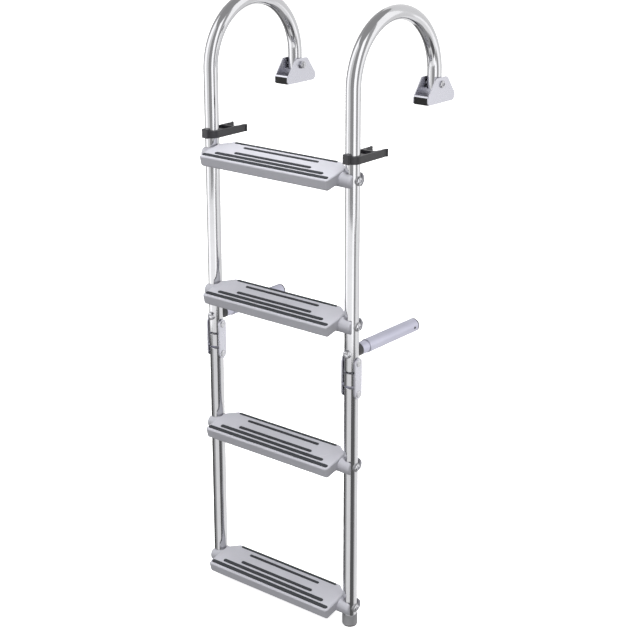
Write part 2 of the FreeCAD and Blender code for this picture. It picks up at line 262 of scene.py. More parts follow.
def polishedStainless():
    # 316 stainless tube, drawn and mirror polished: sharp reflections, slightly wavy from the draw bench,
    # with hairline polishing marks along the tube and a few faint finger smears
    look = {"steel": "#CDCDD0", "smeared": "#C4C4C6", "drawWave": 14, "hairline": 0.35, "smear": 60}
    material, tree, shader = startMaterial("polished stainless tube", {"Metallic": 1.0, "Roughness": 0.1})
    # every mark follows a point's place along the straightened tube
    way = addNode(tree, "Attribute", attribute_name="tubeWay").outputs["Vector"]
    lines = addNode(tree, "Mapping", {"Scale": (1, 1, 0.02)}, {"Vector": way}).outputs["Vector"]
    hairs = addNode(tree, "TexNoise", {"Scale": perMetre(look["hairline"]), "Detail": 2}, {"Vector": lines})
    drawn = addNode(tree, "Mapping", {"Scale": (1, 1, 0.25)}, {"Vector": way}).outputs["Vector"]
    waves = addNode(tree, "TexNoise", {"Scale": perMetre(look["drawWave"]), "Detail": 1}, {"Vector": drawn})
    smears = addNode(tree, "TexNoise", {"Scale": perMetre(look["smear"]), "Detail": 5, "Roughness": 0.65},
                     {"Vector": way})
    tint = addNode(tree, "Mix", {6: linearColour(look["steel"]), 7: linearColour(look["smeared"])},
                   {0: smears.outputs["Fac"]}, data_type="RGBA")
    gloss = addNode(tree, "MapRange", {"From Min": 0.35, "From Max": 0.75, "To Min": 0.07, "To Max": 0.15},
                    {"Value": smears.outputs["Fac"]})
    wavy = addNode(tree, "Bump", {"Strength": 0.35, "Distance": 0.00012}, {"Height": waves.outputs["Fac"]})
    brushed = addNode(tree, "Bump", {"Strength": 0.12, "Distance": 0.00002},
                      {"Height": hairs.outputs["Fac"], "Normal": wavy.outputs["Normal"]})
    tree.links.new(tint.outputs[2], shader.inputs["Base Color"])
    tree.links.new(gloss.outputs["Result"], shader.inputs["Roughness"])
    tree.links.new(brushed.outputs["Normal"], shader.inputs["Normal"])
    return material


def satinAluminium():
    # anodised aluminium tube, fine-turned before anodising: soft even sheen with a cool cast
    # and faint rings round it
    look = {"metal": "#C4C4D2", "shade": "#B6B6C6", "ring": 0.6, "cloud": 35}
    material, tree, shader = startMaterial("satin anodised aluminium", {"Metallic": 1.0, "Roughness": 0.36})
    way = addNode(tree, "TexCoord").outputs["Object"]
    across = addNode(tree, "Mapping", {"Scale": (0.05, 1, 0.05)}, {"Vector": way}).outputs["Vector"]
    rings = addNode(tree, "TexNoise", {"Scale": perMetre(look["ring"]), "Detail": 2}, {"Vector": across})
    clouds = addNode(tree, "TexNoise", {"Scale": perMetre(look["cloud"]), "Detail": 4}, {"Vector": way})
    tint = addNode(tree, "Mix", {6: linearColour(look["metal"]), 7: linearColour(look["shade"])},
                   {0: clouds.outputs["Fac"]}, data_type="RGBA")
    gloss = addNode(tree, "MapRange", {"From Min": 0.3, "From Max": 0.7, "To Min": 0.32, "To Max": 0.44},
                    {"Value": rings.outputs["Fac"]})
    fine = addNode(tree, "Bump", {"Strength": 0.15, "Distance": 0.00003}, {"Height": rings.outputs["Fac"]})
    tree.links.new(tint.outputs[2], shader.inputs["Base Color"])
    tree.links.new(gloss.outputs["Result"], shader.inputs["Roughness"])
    tree.links.new(fine.outputs["Normal"], shader.inputs["Normal"])
    return material


def pressedSteel():
    # stainless sheet, blanked and bent in a press and tumbled: cool satin faces with fine tumbling scratches
    look = {"steel": "#D0D0D8", "dull": "#C6C6CE", "scratch": 0.9, "cloud": 18}
    material, tree, shader = startMaterial("pressed stainless sheet", {"Metallic": 1.0, "Roughness": 0.28})
    way = addNode(tree, "TexCoord").outputs["Object"]
    drawn = addNode(tree, "Mapping", {"Scale": (1, 0.08, 1)}, {"Vector": way}).outputs["Vector"]
    scratches = addNode(tree, "TexNoise", {"Scale": perMetre(look["scratch"]), "Detail": 3},
                        {"Vector": drawn})
    clouds = addNode(tree, "TexNoise", {"Scale": perMetre(look["cloud"]), "Detail": 5, "Roughness": 0.6},
                     {"Vector": way})
    tint = addNode(tree, "Mix", {6: linearColour(look["steel"]), 7: linearColour(look["dull"])},
                   {0: clouds.outputs["Fac"]}, data_type="RGBA")
    gloss = addNode(tree, "MapRange", {"From Min": 0.3, "From Max": 0.7, "To Min": 0.24, "To Max": 0.32},
                    {"Value": clouds.outputs["Fac"]})
    fine = addNode(tree, "Bump", {"Strength": 0.15, "Distance": 0.00003},
                   {"Height": scratches.outputs["Fac"]})
    tree.links.new(tint.outputs[2], shader.inputs["Base Color"])
    tree.links.new(gloss.outputs["Result"], shader.inputs["Roughness"])
    tree.links.new(fine.outputs["Normal"], shader.inputs["Normal"])
    return material


def turnedSteel():
    # A4 stainless bolts and rivets, turned and bright: small tight highlights, darker grime in the low spots
    look = {"steel": "#C6C6CA", "grime": "#77777C", "speck": 2.2, "toolMark": 0.5}
    material, tree, shader = startMaterial("turned stainless fastener", {"Metallic": 1.0, "Roughness": 0.22})
    way = addNode(tree, "TexCoord").outputs["Object"]
    specks = addNode(tree, "TexNoise", {"Scale": perMetre(look["speck"]), "Detail": 4}, {"Vector": way})
    marks = addNode(tree, "TexNoise", {"Scale": perMetre(look["toolMark"]), "Detail": 1}, {"Vector": way})
    amount = addNode(tree, "MapRange", {"From Min": 0.55, "From Max": 0.8, "To Min": 0.0, "To Max": 0.6},
                     {"Value": specks.outputs["Fac"]})
    tint = addNode(tree, "Mix", {6: linearColour(look["steel"]), 7: linearColour(look["grime"])},
                   {0: amount.outputs["Result"]}, data_type="RGBA")
    gloss = addNode(tree, "MapRange", {"From Min": 0.3, "From Max": 0.7, "To Min": 0.16, "To Max": 0.3},
                    {"Value": specks.outputs["Fac"]})
    fine = addNode(tree, "Bump", {"Strength": 0.1, "Distance": 0.00003}, {"Height": marks.outputs["Fac"]})
    tree.links.new(tint.outputs[2], shader.inputs["Base Color"])
    tree.links.new(gloss.outputs["Result"], shader.inputs["Roughness"])
    tree.links.new(fine.outputs["Normal"], shader.inputs["Normal"])
    return material


def mouldedPlastic(name, look, values):
    # injection-moulded plastic with a spark-eroded grain: broad soft sheen, faint flow clouds, fine pimples
    # and a few paler scuffs
    material, tree, shader = startMaterial(name, values)
    way = addNode(tree, "TexCoord").outputs["Object"]
    clouds = addNode(tree, "TexNoise", {"Scale": perMetre(look["cloud"]), "Detail": 3}, {"Vector": way})
    grain = addNode(tree, "TexNoise", {"Scale": perMetre(look["grain"]), "Detail": 2, "Roughness": 0.6},
                    {"Vector": way})
    marks = addNode(tree, "TexNoise", {"Scale": perMetre(look["scuff"]), "Detail": 6, "Roughness": 0.7,
                                       "Distortion": 0.8}, {"Vector": way})
    tint = addNode(tree, "Mix", {6: linearColour(look["light"]), 7: linearColour(look["dark"])},
                   {0: clouds.outputs["Fac"]}, data_type="RGBA")
    amount = addNode(tree, "MapRange", {"From Min": 0.62, "From Max": 0.75, "To Min": 0.0,
                                        "To Max": look["wear"]}, {"Value": marks.outputs["Fac"]})
    worn = addNode(tree, "Mix", {7: linearColour(look["scuffed"])},
                   {0: amount.outputs["Result"], 6: tint.outputs[2]}, data_type="RGBA")
    low, high = look["gloss"]
    gloss = addNode(tree, "MapRange", {"From Min": 0.3, "From Max": 0.7, "To Min": low, "To Max": high},
                    {"Value": marks.outputs["Fac"]})
    pimples = addNode(tree, "Bump", {"Strength": look["relief"], "Distance": 0.00012},
                      {"Height": grain.outputs["Fac"]})
    tree.links.new(worn.outputs[2], shader.inputs["Base Color"])
    tree.links.new(gloss.outputs["Result"], shader.inputs["Roughness"])
    tree.links.new(pimples.outputs["Normal"], shader.inputs["Normal"])
    return material


polished = polishedStainless()
satin = satinAluminium()
pressed = pressedSteel()
bright = turnedSteel()
# grain is drawn at 1.1 mm, coarser than the real 0.3 mm, so that it shows
stepPlastic = mouldedPlastic("grey glass-filled polypropylene", {
    "light": "#BEBEC6", "dark": "#B2B2B9", "scuffed": "#D4D4D8", "cloud": 45, "grain": 1.1, "scuff": 22,
    "wear": 0.35, "gloss": (0.42, 0.58), "relief": 0.35}, {"IOR": 1.49, "Specular IOR Level": 0.5})
capPlastic = mouldedPlastic("grey polyamide cap", {
    "light": "#A6A6A8", "dark": "#9A9A9E", "scuffed": "#C0C0C0", "cloud": 12, "grain": 0.9, "scuff": 10,
    "wear": 0.4, "gloss": (0.26, 0.38), "relief": 0.2}, {"IOR": 1.53, "Specular IOR Level": 0.5})
blackNylon = mouldedPlastic("black nylon", {
    "light": "#2E2D32", "dark": "#242328", "scuffed": "#5A595E", "cloud": 15, "grain": 0.8, "scuff": 9,
    "wear": 0.45, "gloss": (0.34, 0.5), "relief": 0.3}, {"IOR": 1.53, "Specular IOR Level": 0.5})
# rubber: matt and slightly dusty, with a coarser bloom
gripRubber = mouldedPlastic("charcoal grip rubber", {
    "light": "#35373B", "dark": "#2A2C30", "scuffed": "#6A6C70", "cloud": 20, "grain": 1.3, "scuff": 14,
    "wear": 0.4, "gloss": (0.62, 0.8), "relief": 0.6}, {"IOR": 1.52, "Specular IOR Level": 0.4})
soleRubber = mouldedPlastic("black EPDM rubber", {
    "light": "#1E1E1F", "dark": "#161617", "scuffed": "#4A4A4A", "cloud": 14, "grain": 1.2, "scuff": 11,
    "wear": 0.4, "gloss": (0.6, 0.8), "relief": 0.5}, {"IOR": 1.52, "Specular IOR Level": 0.4})
print("materials made")


def tubeAlong(mesh, route, outer, inner, edge, count=72):
    # tube with a real wall and softened ends; the route holds (centre, sideways direction, distance along)
    # and a point's place along the straightened tube is kept for the polish marks
    way = mesh.verts.layers.float_vector.new("tubeWay")

    def rims(radius, step):
        start = edge * step
        yield radius - start, route[0], 0.0
        yield radius, route[0], edge
        for stop in route[1:-1]:
            yield radius, stop, 0.0
        yield radius, route[-1], -edge
        yield radius - start, route[-1], 0.0

    rings = list(rims(outer, 1)) + list(rims(inner, -1))[::-1]
    points, ways = [], []
    for radius, (centre, across, distance), shift in rings:
        forward = Vector((1, 0, 0)).cross(across)
        spots = [(radius * math.cos(math.tau * i / count), radius * math.sin(math.tau * i / count))
                 for i in range(count)]
        points.append([centre + forward * shift + Vector((1, 0, 0)) * a + across * b for a, b in spots])
        ways.append([Vector((a, b, distance + shift)) * 0.001 for a, b in spots])
    already = len(mesh.verts)
    stack(mesh, points, loop=True)
    mesh.verts.ensure_lookup_table()
    for index, place in enumerate(place for ring in ways for place in ring):
        mesh.verts[already + index][way] = place
    return mesh


def makeStiles():
    stile = {"wall": 1.5, "softEnd": 0.5, "bendSteps": 72}
    for side in sides:
        low, high = boxOf(f"stile_lower_{side}")
        radius = (high.x - low.x) / 2
        centre = (low + high) / 2
        across = Vector((0, -1, 0))  # with +X it makes the tube run up
        route = [(Vector((centre.x, centre.y, low.z)), across, 0.0),
                 (Vector((centre.x, centre.y, high.z)), across, high.z - low.z)]
        tube = tubeAlong(bmesh.new(), route, radius, radius - stile["wall"], stile["softEnd"])
        finished(f"lowerStile_{side}", tube, polished, "lower_section",
                 [f"stile_lower_{side}"])

        low, high = boxOf(f"stile_upper_{side}")
        legEnd = boxOf(f"hook_end_plug_{side}")[0].z
        climberY, boatY = low.y + radius, high.y - radius
        bend = (boatY - climberY) / 2
        crown = high.z - radius - bend  # height of the bend's centre
        turnPoint = Vector((centre.x, climberY + bend, crown))
        route = [(Vector((centre.x, climberY, low.z)), across, 0.0)]
        for step in range(stile["bendSteps"] + 1):
            turn = math.pi * step / stile["bendSteps"]
            outward = Vector((0, -math.cos(turn), math.sin(turn)))
            route.append((turnPoint + outward * bend, outward, crown - low.z + bend * turn))
        ending = route[-1][2] + crown - legEnd
        route.append((Vector((centre.x, boatY, legEnd)), Vector((0, 1, 0)), ending))
        tube = tubeAlong(bmesh.new(), route, radius, radius - stile["wall"], stile["softEnd"])
        finished(f"upperStile_{side}", tube, polished, "frame", [f"stile_upper_{side}"])
    print("stiles bent")


def makeFeet():
    foot = {"sheet": 2.5, "web": 3.0, "webInset": (1.2, 0.6), "topHalf": 17, "sideHeight": 12,
            "rimSoftness": 0.9, "cornerRadii": (5, 9, 8, 8, 9, 5), "groove": 2.0,
            "grooveDepth": 1.5, "grooves": 7,
            "headRadius": 6.5, "headHeight": 4.0, "socket": 2.6, "nutFlat": 6.5, "shank": 4.0}
    for side, sign in sides.items():
        body = f"foot_{side}"
        low, high = boxOf(f"foot_bracket_{side}")
        centre = (low + high) / 2
        sole = boxOf(f"foot_pad_{side}")
        half = high.y - centre.y
        corners = [(-half, 0), (half, 0), (half, foot["sideHeight"]), (foot["topHalf"], high.z - low.z),
                   (-foot["topHalf"], high.z - low.z), (-half, foot["sideHeight"])]
        outline = roundedOutline(corners, foot["cornerRadii"])
        bracket = bmesh.new()
        for first, last in ((low.x, low.x + foot["sheet"]), (high.x - foot["sheet"], high.x)):
            slab(bracket, outline, first, last, foot["rimSoftness"], movedTo((0, centre.y, low.z), sideways))
        spare = Vector((*foot["webInset"], 0))
        web = bar(bmesh.new(), Vector((low.x, low.y, sole[1].z)) + spare,
                  Vector((high.x, high.y, sole[1].z + foot["web"])) - spare)
        bolt = middleOf(f"foot_bolt_{side}")
        finished(f"footBracket_{side}", worked(bracket, ("UNION", web)), pressed, body,
                 [f"foot_bracket_{side}"], bevel=0.5)

        padLow, padHigh = sole
        outline = roundedOutline([(padLow.y, padLow.z), (padHigh.y, padLow.z), (padHigh.y, padHigh.z),
                                  (padLow.y, padHigh.z)], (2.5, 2.5, 1, 1), 4)
        pad = slab(bmesh.new(), outline, padLow.x, padHigh.x, 0.8, sideways)
        treads = bmesh.new()
        pitch = (padHigh.y - padLow.y) / (foot["grooves"] + 1)
        for number in range(1, foot["grooves"] + 1):
            y = padLow.y + pitch * number
            bar(treads, (padLow.x - 2, y - foot["groove"] / 2, padLow.z - 2),
                (padHigh.x + 2, y + foot["groove"] / 2, padLow.z + foot["grooveDepth"]))
        finished(f"footSole_{side}", worked(pad, ("DIFFERENCE", treads)), soleRubber, body,
                 [f"foot_pad_{side}"])

        outward, inward = (sideways, flipped(sideways))[::sign]
        outer = movedTo((high.x if sign > 0 else low.x, bolt.y, bolt.z), outward)
        inner = movedTo((low.x if sign > 0 else high.x, bolt.y, bolt.z), inward)
        head, rise, key = foot["headRadius"], foot["headHeight"], foot["socket"]
        width = high.x - low.x
        screw = turned(bmesh.new(), [(foot["shank"] * 0.7, -width - 7.9), (foot["shank"], -width - 7.2),
                                     (foot["shank"], 0.0), (head - 0.3, 0.0), (head, 0.3), (head, 1.2),
                                     (head - 0.5, 2.4), (head - 1.4, 3.3), (head - 2.5, rise - 0.15),
                                     (key + 1.0, rise), (key + 0.5, rise - 0.1), (key, rise - 0.5, 6),
                                     (key, 1.9, 6), (key * 0.8, 1.7), (0, 1.2)], outer)
        finished(f"footBolt_{side}", screw, bright, body, [f"foot_bolt_{side}"])
        flat = foot["nutFlat"]
        bore = foot["shank"] + 0.05
        nut = turned(bmesh.new(), [(bore, 0.2), (bore + 0.65, 0.0), (flat - 0.5, 0.0), (flat, 0.5, 6),
                                   (flat, 4.2, 6), (flat - 0.4, 4.6), (flat - 0.9, 5.8), (flat - 1.6, 6.4),
                                   (bore + 0.65, 6.5), (bore, 6.2)], inner, loop=True)
        finished(f"footNut_{side}", nut, bright, body, [f"foot_nut_{side}"])
    print("feet made")


def makeTreads():
    # moulded step: a deck sloping down to its rounded nose, ribbed underneath, a round spine that holds
    # the rung and a fork at each end that grips the stile
    step = {"tilt": 13, "lift": 17.5, "halfWidth": 141, "backHalfWidth": 119, "front": 48.55,
            "chamferStart": 6, "back": 22, "thickness": 20, "cornerRadii": (6, 5, 5, 5, 5, 6),
            "topSoftness": 3.0, "footSoftness": 4.5, "spine": 13, "rungHole": 8.1, "forkInner": 124,
            "forkReach": 20, "forkSoftness": 3.0, "cellDepth": 16, "wall": 4,
            "cellEdges": (-133, -84, -36, 4, 44, 92, 137), "slotClearance": 0.4,
            "strips": ((134, -40, 7.4), (115, -28.5, 7), (81, -17, 6), (80, 5.5, 5), (111, 17.6, 4.4)),
            "stripHeight": 2.4, "stripProud": 1.2, "stripSoftness": 0.8, "grooveGap": 0.2}
    radius = (boxOf("stile_lower_right")[1] - boxOf("stile_lower_right")[0]).x / 2
    stileX, stileY = middleOf("stile_lower_right").x, boxOf("stile_upper_right")[0].y + radius
    forkOuter = boxOf("tread_1")[1].x
    # the deck is drawn flat with its top at zero, then tipped about the rung's axis
    deck = Matrix.Rotation(math.radians(step["tilt"]), 4, "X") @ Matrix.Translation((0, 0, step["lift"]))

    corners = [(-step["halfWidth"], -step["front"]), (step["halfWidth"], -step["front"]),
               (step["halfWidth"], step["chamferStart"]), (step["backHalfWidth"], step["back"]),
               (-step["backHalfWidth"], step["back"]), (-step["halfWidth"], step["chamferStart"])]
    plate = slab(bmesh.new(), roundedOutline(corners, step["cornerRadii"]), -step["thickness"], 0,
                 step["footSoftness"], deck, topEdge=step["topSoftness"], steps=6)
    spine = turned(bmesh.new(), [(step["spine"], end * (step["forkInner"] + 3)) for end in (-1, 1)], sideways)
    forks, mouths = bmesh.new(), bmesh.new()
    grip = slotOutline(step["forkReach"] - step["spine"], step["spine"], (0, 0), 14)
    for sign in sides.values():
        start, end = sorted((sign * step["forkInner"], sign * forkOuter))
        slab(forks, grip, start, end, 0.3 if sign > 0 else step["forkSoftness"], sideways,
             topEdge=step["forkSoftness"] if sign > 0 else 0.3)
        room = radius + step["slotClearance"]
        mouth = [Vector((sign * stileX, 0)) + sign * point for point in arc((0, 0), room, 90, 270, 32)]
        mouth += [Vector((sign * (forkOuter + 9), end * sign * room)) for end in (-1, 1)]
        stack(mouths, [[Vector((p.x, p.y, z)) for p in mouth] for z in (-40, 40)])
    cells = bmesh.new()
    for left, right in zip(step["cellEdges"], step["cellEdges"][1:]):
        bar(cells, (left, step["wall"] - step["front"], -step["thickness"] - 5),
            (right - step["wall"], -step["spine"] - 3, step["cellDepth"] - step["thickness"]), edge=2)
    bmesh.ops.transform(cells, matrix=deck, verts=cells.verts)
    grooves, strips = bmesh.new(), bmesh.new()
    floorLevel = step["stripProud"] - step["stripHeight"]
    for half, y, width in step["strips"]:
        outline = slotOutline(half, width / 2 + step["grooveGap"], (0, y))
        stack(grooves, [[deck @ Vector((p.x, p.y, z)) for p in outline] for z in (floorLevel, 5)])
        slab(strips, slotOutline(half, width / 2, (0, y)), floorLevel, step["stripProud"], 0.1, deck,
             topEdge=step["stripSoftness"], steps=3)
    rungHole = turned(bmesh.new(), [(step["rungHole"], -200), (step["rungHole"], 200)], sideways, count=32)
    blank = worked(plate, ("UNION", spine), ("UNION", forks), ("DIFFERENCE", cells), ("DIFFERENCE", mouths),
                   ("DIFFERENCE", grooves), ("DIFFERENCE", rungHole))

    for number in range(1, 5):
        body = "frame" if number < 3 else "lower_section"
        place = Matrix.Translation((0, stileY, middleOf(f"rung_bar_{number}").z))
        for name, drawing, material, slot, node in (
                ("stepPlate", blank, stepPlastic, "tread_plastic", "tread"),
                ("stepGrips", strips, gripRubber, "grip_rubber", "grip_strips")):
            copy = drawing.copy()
            bmesh.ops.transform(copy, matrix=place, verts=copy.verts)
            finished(f"{name}_{number}", copy, material, body, [f"{node}_{number}"], crease=28)
    print("steps moulded")


def makeStepScrews():
    # dome screws through the stiles into the rungs, each on a hollowed plastic washer
    screw = {"shank": 4.0, "head": 6.5, "rise": 3.4, "socket": 2.4, "washer": 8.1, "washerLift": 1.0}
    radius = (boxOf("stile_lower_right")[1] - boxOf("stile_lower_right")[0]).x / 2
    stileX, stileY = middleOf("stile_lower_right").x, middleOf("stile_lower_right").y
    for number in range(1, 5):
        body, section = ("frame", "upper") if number < 3 else ("lower_section", "lower")
        for side, sign in sides.items():
            middle = middleOf(f"rung_bar_{number}")
            facing = sideways if sign > 0 else flipped(sideways)
            seat = movedTo((sign * (stileX + radius + screw["washerLift"]), stileY, middle.z), facing)
            head, rise, key = screw["head"], screw["rise"], screw["socket"]
            reach = 2 * radius + 18
            shank = [(screw["shank"] * 0.7, -reach - 1), (screw["shank"], -reach), (screw["shank"], 0)]
            dome = [(head - 0.2, 0), (head - 0.05, 0.5), (head - 0.35, 1.3), (head - 1.1, 2.2),
                    (head - 2.2, 3.0), (head - 3.1, rise)]
            socket = [(key + 0.3, rise), (key, rise - 0.3, 6), (key, 1.5, 6), (key * 0.8, 1.3), (0, 0.9)]
            part = turned(bmesh.new(), shank + dome + socket, seat)
            finished(f"stepScrew_{number}_{side}", part, bright, body,
                     [f"tread_screws_{section}"])

            def onTube(point):
                # the washer's underside follows the round tube; its height is counted from the stile's axis
                across = min(abs((seat.to_3x3() @ point).y), radius - 0.1)
                return math.sqrt(radius * radius - across * across) - 0.05

            axisSeat = movedTo((sign * stileX, stileY, middle.z), facing)
            rim = radius + screw["washerLift"]
            bore, edge = screw["shank"] + 0.2, screw["washer"]
            washer = turned(bmesh.new(), [(bore, onTube), (edge - 0.1, onTube),
                                          (edge, lambda p: onTube(p) + 0.3), (edge, rim - 0.5),
                                          (edge - 0.5, rim), (bore + 0.2, rim), (bore, rim - 0.2)],
                            axisSeat, loop=True)
            finished(f"stepWasher_{number}_{side}", washer, capPlastic, body,
                     [f"screw_saddles_{section}"])
    print("step screws fitted")


def makeClips():
    # fold clip: collar round the upright, lug at the climber's side, springy jaws for the folded lower stile
    clip = {"wall": 3.7, "bore": 12.6, "jawBore": 12.9, "pitch": 56, "arm": 70, "lugHalf": 7, "lugReach": 3,
            "lugDepth": 5, "height": 13, "rib": 4, "lip": 2.6, "softness": 0.8}
    for side in sides:
        low, high = boxOf(f"clip_{side}")
        stile, half = middleOf(f"stile_lower_{side}"), clip["height"] / 2
        centre = Vector((stile.x, stile.y, low.z + half))
        outer = clip["bore"] + clip["wall"] + 0.3
        place = movedTo(centre)
        outline = arc((0, 0), outer, 180, 360, 32)
        outline += [Vector((outer, clip["arm"])), Vector((-outer, clip["arm"]))]
        blank = slab(bmesh.new(), outline, -half, half, clip["softness"], place)
        wide, front, back = clip["lugHalf"], -outer - clip["lugReach"], -outer + clip["lugDepth"]
        corners = [(-wide, front), (wide, front), (wide, back), (-wide, back)]
        lug = slab(bmesh.new(), roundedOutline(corners, (2, 2, 1, 1)), -half, high.z - centre.z,
                   clip["softness"], place)
        lips, bores, gaps = bmesh.new(), bmesh.new(), bmesh.new()
        for edge in (-1, 1):
            tip = centre + Vector((edge * (outer - 0.6), clip["arm"], 0))
            turned(lips, [(clip["lip"] - clip["softness"], -half), (clip["lip"], clip["softness"] - half),
                          (clip["lip"], half - clip["softness"]), (clip["lip"] - clip["softness"], half)],
                   movedTo(tip))
        turned(bores, [(clip["bore"], -30), (clip["bore"], 30)], place, count=96)
        jaw = turned(bmesh.new(), [(clip["jawBore"], -30), (clip["jawBore"], 30)],
                     movedTo(centre + Vector((0, clip["pitch"], 0))), count=96)
        bar(gaps, centre + Vector((-clip["jawBore"], clip["jawBore"] + clip["rib"], -30)),
            centre + Vector((clip["jawBore"], clip["pitch"] - clip["jawBore"] - clip["rib"], 30)), edge=2)
        bar(gaps, centre + Vector((-clip["jawBore"], clip["pitch"], -30)),
            centre + Vector((clip["jawBore"], clip["pitch"] + 40, 30)))
        part = worked(blank, ("UNION", lug), ("UNION", lips), ("DIFFERENCE", bores), ("DIFFERENCE", jaw),
                      ("DIFFERENCE", gaps))
        finished(f"foldClip_{side}", part, blackNylon, f"fold_clip_{side}", [f"clip_{side}"])
    print("clips moulded")


def makeStandoffs():
    # strut that keeps the ladder off the hull
    strut = {"tubeWall": 1.5, "hole": 4.2, "soft": 0.5, "sideHole": 2.5, "sideHoleBack": 11, "head": 7.5,
             "socket": 3.2, "shank": 4.0}
    radius = (boxOf("stile_lower_right")[1] - boxOf("stile_lower_right")[0]).x / 2
    for side in sides:
        axis = middleOf(f"standoff_tube_{side}")
        stileY = middleOf(f"stile_lower_{side}").y
        along = movedTo((axis.x, stileY, axis.z), inboard)  # heights are distances behind the stile's axis

        def onTube(point):
            # inboard puts the point's second coordinate on X, across the stile
            return math.sqrt(radius * radius - min(abs(point.y), radius - 0.1) ** 2)

        def span(node):
            low, high = boxOf(f"standoff_{node}_{side}")
            return low.y - stileY, high.y - stileY, (high.x - low.x) / 2

        first, last, outer = span("saddle")
        saddle = turned(bmesh.new(), [(strut["hole"], onTube), (outer - 0.4, onTube),
                                      (outer, lambda p: onTube(p) + 0.5), (outer, last - 0.4),
                                      (outer - 0.4, last), (strut["hole"], last)], along, loop=True)
        finished(f"standoffSaddle_{side}", saddle, blackNylon, "frame",
                 [f"standoff_saddle_{side}"])

        first, last, outer = span("tube")
        bore, soft = outer - strut["tubeWall"], strut["soft"]
        tube = turned(bmesh.new(), [(bore, first + soft), (bore + soft, first), (outer - soft, first),
                                    (outer, first + soft), (outer, last), (bore, last)], along, loop=True)
        finished(f"standoffTube_{side}", tube, satin, "frame", [f"standoff_tube_{side}"])

        first, last, wide = span("sleeve")
        sleeve = turned(bmesh.new(), [(outer + 0.05, first + soft), (outer + 0.3, first),
                                      (wide - soft, first), (wide, first + soft), (wide, last - 0.2),
                                      (wide - 0.2, last), (outer + 0.05, last)], along, loop=True)
        drill = turned(bmesh.new(), [(strut["sideHole"], -30), (strut["sideHole"], 30)],
                       movedTo((axis.x, stileY + last - strut["sideHoleBack"], axis.z), sideways), count=32)
        sleeve = worked(sleeve, ("DIFFERENCE", drill))
        finished(f"standoffSleeve_{side}", sleeve, satin, "frame", [f"standoff_sleeve_{side}"])

        first, last, wide = span("tip")
        tip = turned(bmesh.new(), [(outer - 1, first), (outer - 0.05, first + 1), (outer - 0.05, last - 3),
                                   (wide, last - 3), (wide, last - 1), (wide - 0.3, last - 0.3),
                                   (wide - 1.1, last), (0, last)], along)
        finished(f"standoffTip_{side}", tip, soleRubber, "frame", [f"standoff_tip_{side}"])

        first, last = span("bolt")[:2]
        head, key, shank = strut["head"], strut["socket"], strut["shank"]
        socket = [(0, 1.8), (key * 0.8, 1.6), (key, 1.4, 6), (key, 0.5, 6), (key + 0.5, 0.05), (key + 1.0, 0)]
        dome = [(head - 2.4, 0.2), (head - 1.2, 0.9), (head - 0.3, 2.2), (head, 3.4)]
        profile = [(r, first + h, *flats) for r, h, *flats in socket + dome]
        profile += [(head, lambda p: -onTube(p)), (shank, -radius + 3), (shank, last - 0.6),
                    (shank - 0.7, last)]
        bolt = turned(bmesh.new(), profile, along)
        finished(f"standoffBolt_{side}", bolt, bright, "frame", [f"standoff_bolt_{side}"])
    print("standoffs fitted")


def makeHinges():
    # each hinge: two round-ended plates beside the tubes, a short tube between them, riveted pins
    hinge = {"plate": 3.0, "soft": 0.8, "spacerLift": 15.8, "spacerHeight": 20.4, "spacerBore": 9.5,
             "spacerRadius": 12.95, "rivetHead": 6.5, "rivetRise": 1.8, "shank": 4.0}
    for side in sides:
        low, high = boxOf(f"hinge_link_{side}")
        axis = middleOf(f"stile_lower_{side}")
        upper, lower = middleOf("hinge_pins_upper").z, middleOf("hinge_pins_lower").z
        link = bmesh.new()
        outline = slotOutline((upper - lower) / 2, high.z - upper, ((upper + lower) / 2, 0))
        outline = [Vector((-p.y, p.x)) for p in outline]  # stands the slot up
        for first, last in ((low.x, low.x + hinge["plate"]), (high.x - hinge["plate"], high.x)):
            slab(link, outline, first, last, hinge["soft"], movedTo((0, axis.y, 0), sideways))
        finished(f"hingeLink_{side}", link, pressed, "hinge_links", [f"hinge_link_{side}"])
        foot = lower + hinge["spacerLift"]
        route = [(Vector((axis.x, axis.y, foot + rise)), Vector((0, -1, 0)), rise)
                 for rise in (0, hinge["spacerHeight"])]
        spacer = tubeAlong(bmesh.new(), route, hinge["spacerRadius"], hinge["spacerBore"], 0.6)
        finished(f"hingeSpacer_{side}", spacer, polished, "hinge_links",
                 [f"hinge_link_{side}"])
        for level, z in (("upper", upper), ("lower", lower)):
            half = (high.x - low.x) / 2
            rise, wide, shank = hinge["rivetRise"], hinge["rivetHead"], hinge["shank"]
            domed = [(wide - 0.2, 0.0), (wide, 0.25), (wide - 0.5, 0.9), (wide - 1.8, 1.4),
                     (wide - 3.4, rise), (1.6, rise), (1.2, rise - 0.35), (0, rise - 0.4)]
            profile = [(r, -half - h) for r, h in domed[::-1]] + [(shank, -half), (shank, half)]
            profile += [(r, half + h) for r, h in domed]
            pin = turned(bmesh.new(), profile, movedTo((axis.x, axis.y, z), sideways), count=48)
            finished(f"hingePin_{level}_{side}", pin, bright, "hinge_links",
                     [f"hinge_pins_{level}"])
    print("hinges riveted")


